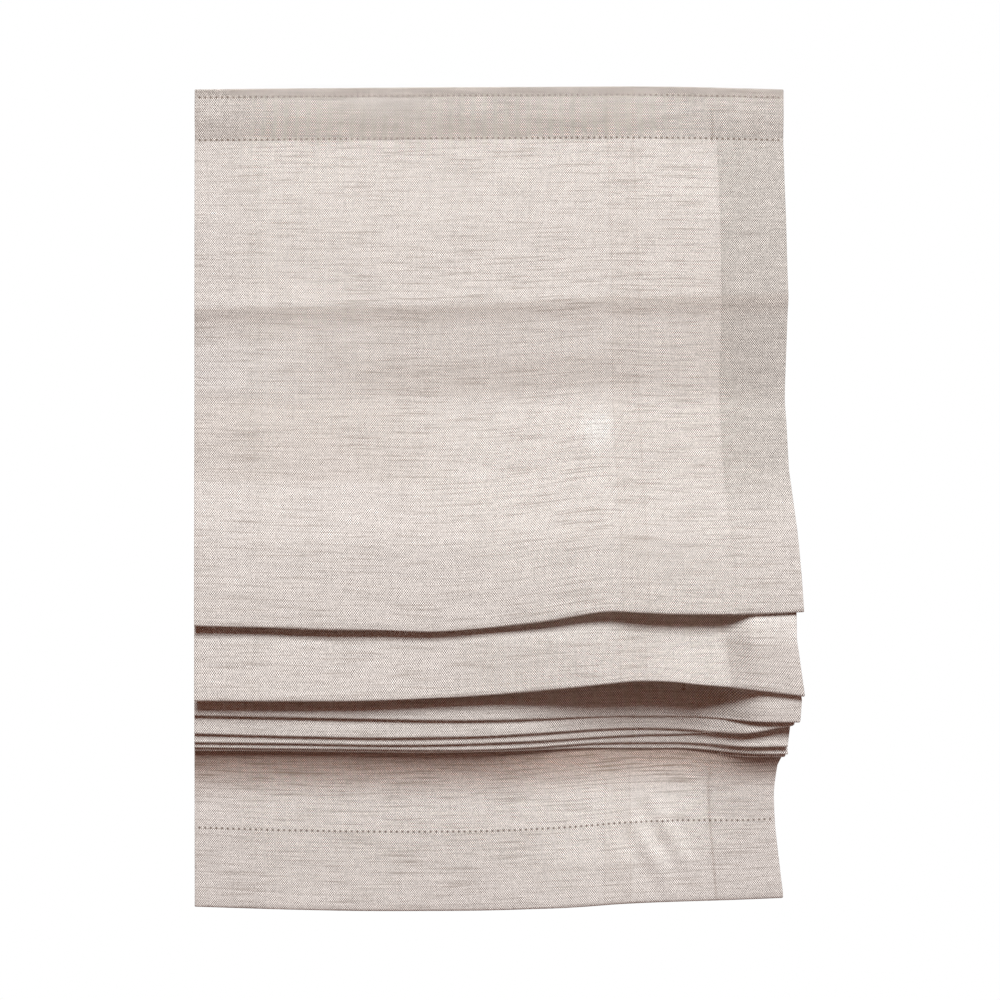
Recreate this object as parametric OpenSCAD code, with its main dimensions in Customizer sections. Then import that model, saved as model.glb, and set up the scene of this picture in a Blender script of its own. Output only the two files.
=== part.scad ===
// Roman blind, partly raised: a hemmed linen sheet gathered on rods under a geared headrail.
// Millimetres. Z is up, the front faces -Y and Y = 0 is the wall.
// X = 0 and Z = 0 are midway between the two wall screws.

/* [Cloth] */
// Finished width of the blind
blind_w = 450; // [440:5:470]
// Thickness of the linen
cloth_t = 0.5; // [0.4:0.05:0.55]
// Width of each side hem
side_hem = 51; // [40:1:55]
// Depth of the turned header
header_h = 40; // [39:0.5:43]
// Distance between the two layers of a turned hem, from middle to middle
turn_gap = 1.8; // [1.8:0.1:2.2]
// Height of the bottom hem above its stitch line
bottom_hem = 63; // [56:1:66]
// How far the folds swing to the right for each millimetre that they stand forward
fold_swing = 0.17; // [0:0.01:0.2]

/* [Folds] */
// Distance between two rods in the gathered pile
rod_pitch = 7; // [6.8:0.1:7.4]
// Radius of the cloth where it turns over at a rod
crest_r = 2.4; // [2.2:0.1:2.5]
// Radius of the cloth where it turns under at a fold
fold_r = 1.3; // [1.2:0.1:1.4]
// Drop from the top edge to the middle of the pile's curve
pile_drop = 418; // [400:1:440]
// Radius of the last and tightest curve of the pile
pile_r = 2; // [1.5:0.1:3]

/* [Tapes] */
// Distance of each lift tape's middle from the side edge
tape_inset = 125.5; // [120:0.5:135]
// Width of each lift tape
tape_w = 20; // [16:1:22]
// Thickness of the lift tapes
tape_t = 0.35; // [0.3:0.05:0.4]
// Height of the hook and loop tapes
fastener_h = 35; // [30:1:36]
// Thickness of the hook tape and of the loop tape
fastener_t = 1.5; // [1.2:0.1:1.8]

/* [Rods, eyes and cords] */
// Radius of a rod
rod_r = 2; // [1.8:0.05:2.1]
// Distance from the wall to the lift cords
cord_back = 8; // [7.5:0.1:8.5]
// Radius of a lift cord
cord_r = 0.8; // [0.6:0.05:0.9]
// Distance from a lift cord to the rods
cord_to_rod = 5; // [4.8:0.1:5.2]
// Wall of an eye
eye_wall = 1.1; // [0.9:0.05:1.15]
// Length of an eye along its rod and along its cord
eye_l = 6; // [4:0.2:6.4]
// Radius of a cord stop
stop_r = 4; // [3.5:0.1:5]
// Length of a cord stop
stop_l = 11; // [8:0.5:14]
// Height of the bottom bar
bar_h = 22; // [16:1:24]
// Thickness of the bottom bar
bar_t = 3; // [2.5:0.1:3]

/* [Headrail] */
// Depth of the rail, front to back
rail_d = 31; // [28:0.5:35]
// Height of the rail
rail_h = 38; // [37:0.5:40]
// Wall of the rail
rail_wall = 1.4; // [1.2:0.1:1.6]
// Width of the lips along the rail's open underside
rail_lip = 2.5; // [2:0.1:2.6]
// Height of the rail's top above the wall screws
rail_rise = 14; // [13:0.5:16]
// How far the header stands above the rail
header_rise = 2.2; // [2.2:0.1:3]
// Width of the cloth that covers each end of the head
end_cover = 3; // [2:0.5:6]
// Thickness of the brackets
bracket_t = 1.6; // [1.4:0.1:1.8]
// Width of a bracket
bracket_w = 24; // [20:1:30]
// Distance of each bracket's middle from the side edge
bracket_inset = 75; // [60:1:80]
// Radius of a wall screw's hole
wall_hole_r = 2.3; // [2.1:0.05:2.6]

/* [Drive] */
// Length of a drum between its flanges
drum_l = 52; // [40:1:54]
// Height of the drive shaft below the wall screws
shaft_drop = 6; // [5:0.1:6.5]
// Thickness of the drive wheel
wheel_t = 7.6; // [7:0.1:8]
// Radius of a bead of the chain that the wheel takes
bead_r = 2.3; // [2.1:0.05:2.4]
// Number of bead seats around the wheel
bead_count = 9; // [8:1:10]
// Length of the drive housing along the rail
housing_l = 13; // [12.5:0.1:15]
// Thickness of the housing's cover and of the end cap
cover_t = 3; // [2.5:0.1:4]

/* [Clearances] */
// Gap between two fixed pieces that touch
touch = 0.05; // [0.02:0.01:0.1]
// Gap around a bearing
running = 0.06; // [0.03:0.01:0.09]
// Gap between the cloth and the tapes sewn to it
tape_gap = 0.2; // [0.15:0.05:0.3]
// Gap between a turning piece and a fixed one
clear = 0.4; // [0.3:0.05:0.5]
// Gap around the cord where it is guided
cord_clear = 0.45; // [0.35:0.05:0.6]

/* [Hidden] */
$fn = 48;
half_w = blind_w / 2;
tape_x = half_w - tape_inset;
bracket_x = half_w - bracket_inset;
// Distance of the loop tape and the bottom bar, and of the rods, from the side edges.
tape_margin = 8;
rod_margin = 6;

// The head, from the wall forward.
rail_back = -bracket_t - touch;
rail_front = rail_back - rail_d;
rail_top = rail_rise;
rail_bottom = rail_top - rail_h;
hook_front = rail_front - touch - fastener_t;
loop_front = hook_front - touch - fastener_t;
turn_y = loop_front - touch - cloth_t / 2;
face_y = turn_y - turn_gap;
cloth_top = rail_top + header_rise;
fastener_drop = 3;
fastener_top = cloth_top - fastener_drop;

// The rail between its housing and its end cap.
head_x = half_w - end_cover;
rail_x0 = -head_x + cover_t + housing_l;
rail_x1 = head_x - cover_t;

// The drive.
cord_y = -cord_back;
// The drums fill the rail from the cords to a gap in front, and the rest of the drive goes with them.
drum_room = rail_d / 20;
flange_share = 23 / 18;
drum_r = (cord_y - rail_front - rail_wall - clear - cord_r - drum_room) / (1 + flange_share);
flange_r = drum_r * flange_share;
wheel_r = drum_r * 7 / 6;
hub_r = drum_r * 5 / 9;
shaft_s = drum_r * 2 / 3;
journal_r = shaft_s * 0.45;
shaft_y = cord_y - drum_r - clear - cord_r;
shaft_z = -shaft_drop;
flange_t = 1.5;
bearing_t = 3;
hub_l = flange_t + clear + bearing_t + clear;
bore_s = shaft_s + 2 * touch;
drum_end = cord_r + clear;
journal_l = 7;
// Length of the shaft's round end that the square part leaves to the right of it.
shaft_short = 9;
post_r = hub_r + 3;

// The pile of gathered cloth.
folds = 8;
rod_y = cord_y - cord_to_rod;
eye_r = rod_r + touch + eye_wall;
cord_eye_r = cord_r + cord_clear;
crest_y = rod_y - eye_r - 2 * touch - tape_t - tape_gap - cloth_t / 2 - crest_r;
pile_y = crest_y - 0.6;
// Drop of each rod, from the top of the pile down.
function rod_drop(k) = pile_drop - pile_r - crest_r - (folds - k) * rod_pitch;
// Radii of the curves that lead from fold k up to rod k, and from rod k-1 down to fold k.
function back_r(k) = pile_r + 2 * crest_r + (folds - k) * rod_pitch;
function front_r(k) = pile_r + (folds + 1 - k) * rod_pitch;

// Places across the width at which the fold lines are set.
tape_side = tape_w / 2 + 2.5;
tape_out = tape_x + tape_side;
tape_in = tape_x - tape_side;
mid_x = blind_w / 15;
outer_x = blind_w / 3;
sag_x = [-half_w, -tape_out, -tape_in, -mid_x, mid_x, tape_in, tape_out, outer_x, half_w];
// Drop of each fold's edge at those places, below the middle of the pile's curve.
fold_lines = [
  [-11, -8, -7.5, -8, -14.5, -21, -20, -19, -21.5],
  [44.5, 44.5, 44, 41.5, 37, 32, 31, 33.5, 40.5],
  [57, 59, 59.5, 60.5, 60.5, 60.5, 60.5, 60.5, 60.5],
  [70.5, 73.5, 74, 73, 72, 70.5, 70, 71, 64],
  [78, 79.5, 79.5, 79, 78, 76.5, 76, 75, 63],
  [82, 83, 83.5, 84, 83, 82, 82, 82, 80.5],
  [84.5, 85.5, 86, 86, 86, 86.5, 86.5, 86.5, 87],
  [83.5, 84, 84, 84.5, 85, 87, 88.5, 91.5, 92]
];
bottom_line = [208.5, 211, 211.5, 211, 210.5, 207.5, 205.5, 204, 201];
// The curve behind the first fold starts higher than the others.
first_turn = 210;
// How far each fold's edge stands in front of the pile's centre.
fold_out = [68, 62, 46.5, 42.4, 38.8, 35.2, 31.6, 26.5];
// How far the second fold's top stands in front of its curve, close under the first fold.
second_top = 10;
// The upper panel, as distance in front of the header and drop: a ridge, then a valley.
panel = [[0, 46], [7, 92], [13.7, 130], [19, 158], [20, 165], [19.2, 198], [18.2, 226], [18.4, 240]];
valley = [18, 233];
// The bottom panel's top, as distance in front of the bar and drop below the pile's centre: the pile holds it
// forward. From there it leans back to its stitch line.
bottom_panel = [[6, 52], [12.5, 82], [15, 98], [9, 124]];
bottom_out = 5.5;
bottom_y = pile_y - pile_r - 6;
bottom_r = bar_t / 2 + 1.5 * cloth_t + 0.25;

function fold_y(k) = pile_y - fold_out[k - 1];
function across(line, x) = pile_drop + lookup(x, [for (i = [0:len(sag_x) - 1]) [sag_x[i], line[i]]]);
function fold_drop(k, x) = across(fold_lines[k - 1], x);
// Points [y, drop] along an arc; drop grows downwards.
function arc(y, d, r, a0, a1, n) =
  [for (i = [0:n]) let (a = a0 + (a1 - a0) * i / n) [y + r * cos(a), d + r * sin(a)]];

// An arc whose first or last point is pulled forward, and the points next to it less and less.
function lean(p, first, last) =
  [for (i = [0:len(p) - 1])
    let (t = i / (len(p) - 1))
    p[i] - [first * pow(1 - t, 2) + last * pow(t, 2), 0]];

// The turned header, from its lower edge behind to the top.
function header_path() =
  concat([[turn_y, header_h]], arc(turn_y - turn_gap / 2, (turn_gap + cloth_t) / 2, turn_gap / 2, 0, -180, 4));
// The upper panel, down to the first fold.
function panel_path(x) =
  let (d1 = fold_drop(1, x) - fold_r, y0 = face_y - valley[0])
  concat(
    [for (p = panel) [face_y - p[0], p[1]]],
    [for (t = [0.15:0.14:0.9])
      [y0 + (fold_y(1) - y0) * pow(sin(90 * t), 1.25), valley[1] + (d1 - valley[1]) * t]]
  );
// Fold k and the curve over rod k, down to where the next fold or the bottom panel hangs free.
function fold_path(k, x) =
  concat(
    arc(fold_y(k) + fold_r, fold_drop(k, x) - fold_r, fold_r, 180, 0, 4),
    lean(arc(pile_y, pile_drop, back_r(k), k == 1 ? first_turn : 180, 270, k == 1 ? 3 : 4),
      k == 2 ? second_top : 0, 0),
    arc(crest_y, rod_drop(k), crest_r, -90, 90, 4),
    lean(arc(pile_y, pile_drop, front_r(k + 1), 270, 180, 4), 0, k == 1 ? second_top : 0)
  );
function bottom_path(x) =
  let (stitch = across(bottom_line, x) - bottom_hem)
  concat(
    [for (p = bottom_panel) [bottom_y - p[0], pile_drop + p[1]]],
    [[bottom_y - bottom_out, stitch - 4]]
  );
// The bottom hem, around the bar and up to its stitch line.
function hem_path(x) =
  let (d = across(bottom_line, x), back_y = bottom_y + 2 * bottom_r)
  concat(
    [[bottom_y - bottom_out / 2, d - bottom_hem / 2 - 3]],
    arc(bottom_y + bottom_r, d - bottom_r, bottom_r, 180, 0, 4),
    [[back_y, d - bottom_hem / 2 - 8], [bottom_y - bottom_out + 1.5 * turn_gap, d - bottom_hem + 4]]
  );
function hang_path(x) =
  concat(panel_path(x), [for (k = [1:folds]) each fold_path(k, x)], bottom_path(x));
function cloth_path(x) = concat(header_path(), hang_path(x), hem_path(x));

// A path moved sideways by o, to the cloth's face side when o is positive.
function unit(v) = v / norm(v);
function side(p, o) =
  [for (i = [0:len(p) - 1])
    let (
      a = unit(p[max(i, 1)] - p[max(i, 1) - 1]),
      b = unit(p[min(i, len(p) - 2) + 1] - p[min(i, len(p) - 2)]),
      m = unit(a + b)
    )
    p[i] + o / (a * m) * [-m[1], m[0]]];
function place(x, q) = [x + fold_swing * max(0, face_y - q[0]), q[0], cloth_top - q[1]];
// The closed outline of a strip at x, between two distances from its path.
function outline(x, p, front, back) =
  let (f = side(p, front), b = side(p, back), n = len(p))
  [for (i = [0:2 * n - 1]) place(x, i < n ? f[i] : b[2 * n - 1 - i])];

// A solid strip through equal outlines, one at each place across the width. The quads of its
// front and back are cut along the same diagonal, so that the two sides stay parallel.
module loft(rings) {
  n = len(rings[0]);
  last = (len(rings) - 1) * n;
  walls = [for (s = [0:len(rings) - 2], i = [0:n - 1])
    let (a = s * n + i, b = s * n + (i + 1) % n)
    each i < n / 2 ? [[a, a + n, b + n], [a, b + n, b]] : [[a, a + n, b], [b, a + n, b + n]]];
  ends = [for (i = [0:n / 2 - 2])
    let (j = n - 1 - i)
    each [[i, i + 1, j - 1], [i, j - 1, j],
      [last + i, last + j - 1, last + i + 1], [last + i, last + j, last + j - 1]]];
  polyhedron(points = [for (r = rings) each r], faces = concat(walls, ends));
}

// The linen sheet: turned header, side hems of two layers, folds and bottom hem.
module blind_cloth() {
  hem_x = half_w - side_hem;
  edge_x = hem_x + cloth_t * 1.2;
  xs = [-half_w, -edge_x, -hem_x, -tape_out, -tape_in, -mid_x, mid_x, tape_in, tape_out, outer_x,
    hem_x, edge_x, half_w];
  color("linen")
    loft([for (x = xs)
      outline(x, cloth_path(x), cloth_t / 2, -cloth_t * (abs(x) > hem_x ? 1.5 : 0.5))]);
}

// A woven tape sewn down the back of the cloth, into every fold.
module lift_tape(x) {
  color("ivory")
    loft([for (i = [-1, 1])
      let (at = x + i * tape_w / 2)
      outline(at, hang_path(at), -cloth_t / 2 - tape_gap, -cloth_t / 2 - tape_gap - tape_t)]);
}

module lift_tape_left() {
  lift_tape(-tape_x);
}

module lift_tape_right() {
  lift_tape(tape_x);
}

// The soft half of the fastening, sewn behind the header.
module loop_tape() {
  color("white")
    translate([-half_w + tape_margin, loop_front, fastener_top - fastener_h])
      cube([blind_w - 2 * tape_margin, fastener_t, fastener_h]);
}

// The hooked half of the fastening, glued to the rail.
module hook_tape() {
  color("white")
    translate([rail_x0 + 2, hook_front, fastener_top - fastener_h])
      cube([rail_x1 - rail_x0 - 4, fastener_t, fastener_h]);
}

// A rod across the back of the cloth.
module rod(k) {
  color("ivory")
    translate([-half_w + rod_margin, rod_y, cloth_top - rod_drop(k)])
      rotate([0, 90, 0])
        cylinder(r = rod_r, h = blind_w - 2 * rod_margin);
}

// The eyes on one tape: each grips its rod and guides the cord behind it.
module cord_eyes(x) {
  color("white")
    for (k = [1:folds])
      translate([x, rod_y, cloth_top - rod_drop(k)])
        difference() {
          union() {
            rotate([0, 90, 0])
              cylinder(r = eye_r, h = eye_l, center = true);
            translate([0, cord_to_rod, 0])
              cylinder(r = cord_eye_r + eye_wall, h = eye_l, center = true);
            translate([-1, 0, -eye_r * 0.6])
              cube([2, cord_to_rod, eye_r * 1.2]);
          }
          rotate([0, 90, 0])
            cylinder(r = rod_r + touch, h = eye_l + 2, center = true);
          translate([0, cord_to_rod, 0])
            cylinder(r = cord_eye_r, h = eye_l + 2, center = true);
        }
}

module cord_eyes_left() {
  cord_eyes(-tape_x);
}

module cord_eyes_right() {
  cord_eyes(tape_x);
}

stop_top = cloth_top - rod_drop(folds) - eye_l / 2 - touch;

// A taut lift cord, from the drum down through the eyes into its stop.
module lift_cord(x) {
  color("white")
    translate([x, cord_y, stop_top - stop_l + 2])
      cylinder(r = cord_r, h = shaft_z + 1 - (stop_top - stop_l + 2));
}

module lift_cord_left() {
  lift_cord(-tape_x);
}

module lift_cord_right() {
  lift_cord(tape_x);
}

// The stop that carries the lowest eye, with a hollow for the cord's knot.
module cord_stop(x) {
  color("white")
    translate([x, cord_y, stop_top - stop_l])
      difference() {
        union() {
          translate([0, 0, 3])
            cylinder(r = stop_r, h = stop_l - 3);
          cylinder(r1 = stop_r - 1.2, r2 = stop_r, h = 3);
        }
        cylinder(r = cord_r + touch, h = stop_l * 3, center = true);
        translate([0, 0, -1])
          cylinder(r = stop_r - 1.9, h = 5);
      }
}

module cord_stop_left() {
  cord_stop(-tape_x);
}

module cord_stop_right() {
  cord_stop(tape_x);
}

// The flat bar that weights the bottom hem.
module bottom_bar() {
  color("silver")
    translate([-half_w + tape_margin, bottom_y + bottom_r - bar_t / 2, cloth_top - pile_drop - min(bottom_line) + 5])
      cube([blind_w - 2 * tape_margin, bar_t, bar_h]);
}

// Outline of the rail and of what closes its ends.
module rail_section() {
  translate([rail_front, rail_bottom])
    square([rail_d, rail_h]);
}

// What fits inside the rail, with a gap g.
module rail_inside(g) {
  translate([rail_front + rail_wall + g, rail_bottom + rail_wall + g])
    square([rail_d - 2 * (rail_wall + g), rail_h - 2 * (rail_wall + g)]);
}

// Extrudes a section drawn in Y and Z along X.
module along_x(x0, x1) {
  translate([x0, 0, 0])
    rotate([90, 0, 90])
      linear_extrude(x1 - x0)
        children();
}

// A rod along X on the drive axis.
module on_axis(x0, x1, r) {
  translate([x0, shaft_y, shaft_z])
    rotate([0, 90, 0])
      cylinder(r = r, h = x1 - x0);
}

// A square bar along X on the drive axis.
module square_on_axis(x0, x1, s) {
  translate([x0, shaft_y - s / 2, shaft_z - s / 2])
    cube([x1 - x0, s, s]);
}

screw_r = 1.9;
screw_head_r = 3.6;
screw_head_h = 2.4;
screw_slot_l = 5.2;
screw_slot_w = 1;
screw_slot_h = 1.3;
bracket_leg = 30;
screw_y = rail_back - rail_d / 2;

// The extruded rail, open along its underside between two lips.
module headrail() {
  color("white")
    difference() {
      along_x(rail_x0, rail_x1)
        difference() {
          rail_section();
          rail_inside(0);
          translate([rail_front + rail_wall + rail_lip, rail_bottom - 1])
            square([rail_d - 2 * (rail_wall + rail_lip), rail_wall + 2]);
        }
      for (x = [-bracket_x, bracket_x])
        translate([x, screw_y, rail_top - rail_wall - 1])
          cylinder(r = screw_r + 0.3, h = rail_wall + 2);
    }
}

// A wall bracket: one leg on the wall, one over the rail.
module bracket(x) {
  top_z = rail_top + touch;
  color("silver")
    difference() {
      union() {
        translate([x - bracket_w / 2, -bracket_t, top_z - bracket_leg])
          cube([bracket_w, bracket_t, bracket_leg + bracket_t]);
        translate([x - bracket_w / 2, -rail_d * 0.8, top_z])
          cube([bracket_w, rail_d * 0.8, bracket_t]);
      }
      translate([x, 1, 0])
        rotate([90, 0, 0])
          cylinder(r = wall_hole_r, h = bracket_t + 2);
      translate([x, screw_y, top_z - 1])
        cylinder(r = screw_r + touch, h = bracket_t + 2);
    }
}

module bracket_left() {
  bracket(-bracket_x);
}

module bracket_right() {
  bracket(bracket_x);
}

// The two screws that draw the rail up to its brackets.
module bracket_screws() {
  head_z = rail_top - rail_wall - touch - screw_head_h;
  color("gainsboro")
    for (x = [-bracket_x, bracket_x])
      translate([x, screw_y, head_z])
        difference() {
          union() {
            cylinder(r = screw_head_r, h = screw_head_h);
            cylinder(r = screw_r, h = rail_top + touch + bracket_t - head_z);
          }
          for (turn = [0, 90])
            rotate([0, 0, turn])
              translate([-screw_slot_w / 2, -screw_slot_l / 2, -screw_slot_h])
                cube([screw_slot_w, screw_slot_l, 2 * screw_slot_h]);
        }
}

// A drum: flanges, hubs and a square bore. The cord leaves it at x.
module cord_drum(x) {
  x1 = x + drum_end;
  x0 = x1 - drum_l;
  color("gainsboro")
    difference() {
      union() {
        on_axis(x0 - touch, x1 + touch, drum_r);
        on_axis(x0 - flange_t, x0, flange_r);
        on_axis(x1, x1 + flange_t, flange_r);
        on_axis(x0 - hub_l, x0, hub_r);
        on_axis(x1, x1 + hub_l, hub_r);
      }
      square_on_axis(x0 - hub_l - 1, x1 + hub_l + 1, bore_s);
    }
}

module cord_drum_left() {
  cord_drum(-tape_x);
}

module cord_drum_right() {
  cord_drum(tape_x);
}

// The turns of cord on a drum, side by side.
module cord_wrap(x) {
  x1 = x - drum_end;
  turns = floor((drum_l - 2 * drum_end - clear) / (2 * cord_r));
  pitch = 2 * cord_r;
  wave = [for (i = [0:turns * 4])
    [drum_r + cord_r + cord_r * abs(sin(i * 45)), x1 - turns * pitch + i * pitch / 4]];
  color("white")
    translate([0, shaft_y, shaft_z])
      rotate([0, 90, 0])
        rotate_extrude()
          polygon(concat([[drum_r + touch, x1 - turns * pitch]], wave, [[drum_r + touch, x1]]));
}

module cord_wrap_left() {
  cord_wrap(-tape_x);
}

module cord_wrap_right() {
  cord_wrap(tape_x);
}

// The cradle that stands on the rail's lips and carries a drum by its hubs.
module drum_cradle(x) {
  x1 = x + drum_end + flange_t + clear;
  x0 = x + drum_end - drum_l - flange_t - clear;
  base_z = rail_bottom + rail_wall + touch;
  base_h = 2.2;
  inner_y = rail_front + rail_wall + 0.3;
  inner_d = rail_d - 2 * rail_wall - 0.6;
  color("whitesmoke")
    difference() {
      union() {
        translate([x0 - bearing_t, inner_y, base_z])
          cube([x1 - x0 + 2 * bearing_t, inner_d, base_h]);
        for (at = [x0 - bearing_t, x1]) {
          translate([at, shaft_y - post_r, base_z])
            cube([bearing_t, 2 * post_r, shaft_z - base_z]);
          on_axis(at, at + bearing_t, post_r);
        }
      }
      on_axis(x0 - bearing_t - 1, x1 + bearing_t + 1, hub_r + running);
      translate([x, cord_y, base_z - 1])
        cylinder(r = cord_eye_r, h = base_h + 2);
    }
}

module drum_cradle_left() {
  drum_cradle(-tape_x);
}

module drum_cradle_right() {
  drum_cradle(tape_x);
}

wheel_x0 = rail_x0 - housing_l + clear;
wheel_x1 = wheel_x0 + wheel_t;
wheel_hub_x1 = rail_x0 + 4;

// The square shaft, turned round at its right end.
module drive_shaft() {
  color("silver")
    union() {
      square_on_axis(wheel_x1, rail_x1 - shaft_short, shaft_s);
      on_axis(rail_x1 - shaft_short - touch, rail_x1 - shaft_short + journal_l, journal_r);
    }
}

// The wheel with seats for the chain's beads, its hub and its stub.
module drive_wheel() {
  color("gainsboro")
    difference() {
      union() {
        on_axis(wheel_x0, wheel_x1, wheel_r);
        on_axis(wheel_x1 - touch, wheel_hub_x1, hub_r);
        on_axis(wheel_x0 - clear - cover_t + 0.6, wheel_x0 + touch, journal_r);
      }
      for (i = [0:bead_count - 1])
        translate([(wheel_x0 + wheel_x1) / 2, shaft_y, shaft_z])
          rotate([i * 360 / bead_count, 0, 0])
            translate([0, wheel_r + 0.2, 0])
              sphere(r = bead_r);
      square_on_axis(wheel_x1 - touch, wheel_hub_x1 + 1, bore_s);
    }
}

well_r = wheel_r + bead_r - 0.6;

// The housing at the left end; the chain would leave by its open underside.
module drive_housing() {
  x0 = rail_x0 - housing_l + touch;
  wall_x = wheel_x1 + clear;
  color("whitesmoke")
    difference() {
      union() {
        along_x(x0, rail_x0 - touch)
          rail_section();
        along_x(rail_x0 - 2 * touch, rail_x0 + 5)
          difference() {
            rail_inside(0.15);
            rail_inside(1.8);
          }
      }
      on_axis(x0 - 1, wall_x, well_r);
      translate([x0 - 1, shaft_y - well_r, rail_bottom - 1])
        cube([wall_x - x0 + 1, 2 * well_r, shaft_z - rail_bottom + 1]);
      on_axis(wall_x - 1, rail_x0 + 6, hub_r + running);
      for (p = cover_pins)
        translate([x0 - 1, p[0], p[1]])
          rotate([0, 90, 0])
            cylinder(r = 1.2 + touch, h = 6);
    }
}

cover_pins = [[rail_front + 3.4, rail_top - 3.4], [rail_back - 3.4, rail_top - 3.4]];

// The cover that closes the housing and carries the wheel's stub.
module housing_cover() {
  color("whitesmoke")
    difference() {
      union() {
        along_x(-head_x, -head_x + cover_t)
          rail_section();
        for (p = cover_pins)
          translate([-head_x + cover_t - touch, p[0], p[1]])
            rotate([0, 90, 0])
              cylinder(r = 1.2, h = 4);
      }
      on_axis(-head_x + 0.5, -head_x + cover_t + 1, journal_r + running);
    }
}

// The right end of the rail, with the bearing of the shaft's round end.
module end_cap() {
  color("whitesmoke")
    difference() {
      union() {
        along_x(rail_x1 + touch, rail_x1 + cover_t)
          rail_section();
        along_x(rail_x1 - 6, rail_x1 + 2 * touch)
          difference() {
            rail_inside(0.15);
            rail_inside(1.8);
          }
        on_axis(rail_x1 - 8, rail_x1 + 2 * touch, journal_r + 2.2);
      }
      on_axis(rail_x1 - 9, rail_x1, journal_r + running);
    }
}

blind_cloth();
lift_tape_left();
lift_tape_right();
loop_tape();
hook_tape();
rod(1);  // rod_1
rod(2);  // rod_2
rod(3);  // rod_3
rod(4);  // rod_4
rod(5);  // rod_5
rod(6);  // rod_6
rod(7);  // rod_7
rod(8);  // rod_8
cord_eyes_left();
cord_eyes_right();
lift_cord_left();
lift_cord_right();
cord_stop_left();
cord_stop_right();
bottom_bar();
headrail();
bracket_left();
bracket_right();
bracket_screws();
cord_drum_left();
cord_drum_right();
cord_wrap_left();
cord_wrap_right();
drum_cradle_left();
drum_cradle_right();
drive_shaft();
drive_wheel();
drive_housing();
housing_cover();
end_cap();
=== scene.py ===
import math

import bpy
import numpy as np
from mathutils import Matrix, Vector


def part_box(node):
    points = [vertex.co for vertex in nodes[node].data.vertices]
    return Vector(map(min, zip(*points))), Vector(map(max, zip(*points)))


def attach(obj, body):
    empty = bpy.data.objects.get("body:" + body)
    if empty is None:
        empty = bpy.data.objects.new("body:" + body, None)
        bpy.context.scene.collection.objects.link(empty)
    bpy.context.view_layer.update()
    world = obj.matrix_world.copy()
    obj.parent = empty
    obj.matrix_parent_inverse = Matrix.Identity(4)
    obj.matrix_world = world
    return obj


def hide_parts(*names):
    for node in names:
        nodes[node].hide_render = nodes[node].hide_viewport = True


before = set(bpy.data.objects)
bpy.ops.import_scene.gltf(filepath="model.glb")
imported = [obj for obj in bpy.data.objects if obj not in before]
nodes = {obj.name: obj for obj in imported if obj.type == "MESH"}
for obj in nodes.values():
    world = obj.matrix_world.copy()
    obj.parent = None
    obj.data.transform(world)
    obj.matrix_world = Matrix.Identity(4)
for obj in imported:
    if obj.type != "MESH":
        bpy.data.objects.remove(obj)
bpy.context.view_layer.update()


# Wall brackets: two angles bent from aluminium strip. One leg is screwed to the wall
# and the other lies over the rail; the metal is bare, with the marks of the rolling mill.
def put(tree, kind, ins=None, **settings):
    made = tree.nodes.new(kind)
    for key, value in settings.items():
        setattr(made, key, value)
    for key, value in (ins or {}).items():
        if isinstance(value, bpy.types.NodeSocket):
            tree.links.new(value, made.inputs[key])
        else:
            made.inputs[key].default_value = value
    return made


def calc(tree, operation, *values, clamp=False):
    made = tree.nodes.new("ShaderNodeMath")
    made.operation = operation
    made.use_clamp = clamp
    for i, value in enumerate(values):
        if isinstance(value, bpy.types.NodeSocket):
            tree.links.new(value, made.inputs[i])
        else:
            made.inputs[i].default_value = value
    return made.outputs[0]


def tint(tree, factor, first, second, how="MIX"):
    made = tree.nodes.new("ShaderNodeMix")
    made.data_type = "RGBA"
    made.blend_type = how
    for i, value in ((0, factor), (6, first), (7, second)):
        if isinstance(value, bpy.types.NodeSocket):
            tree.links.new(value, made.inputs[i])
        elif i == 0:
            made.inputs[i].default_value = value
        else:
            made.inputs[i].default_value = (*value, 1.0)
    return made.outputs[2]


def shaded(tree, colour, level):
    grey = put(tree, "ShaderNodeCombineColor", {0: level, 1: level, 2: level}).outputs[0]
    return tint(tree, 1.0, colour, grey, "MULTIPLY")


def new_finish(name, rough=0.5):
    finish = bpy.data.materials.new(name)
    finish.use_nodes = True
    tree = finish.node_tree
    shader = tree.nodes["Principled BSDF"]
    shader.inputs["Roughness"].default_value = rough
    return finish, tree, shader


def emboss(tree, shader, height, strength, distance):
    relief = put(tree, "ShaderNodeBump", {"Height": height, "Strength": strength, "Distance": distance})
    tree.links.new(relief.outputs[0], shader.inputs["Normal"])


def effect(name, inputs, outputs):
    group = bpy.data.node_groups.new(name, "ShaderNodeTree")
    for label, kind, default in inputs:
        socket = group.interface.new_socket(name=label, in_out="INPUT", socket_type=kind)
        if default is not None:
            socket.default_value = default
    for label, kind in outputs:
        group.interface.new_socket(name=label, in_out="OUTPUT", socket_type=kind)
    return group, group.nodes.new("NodeGroupInput"), group.nodes.new("NodeGroupOutput")


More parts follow.
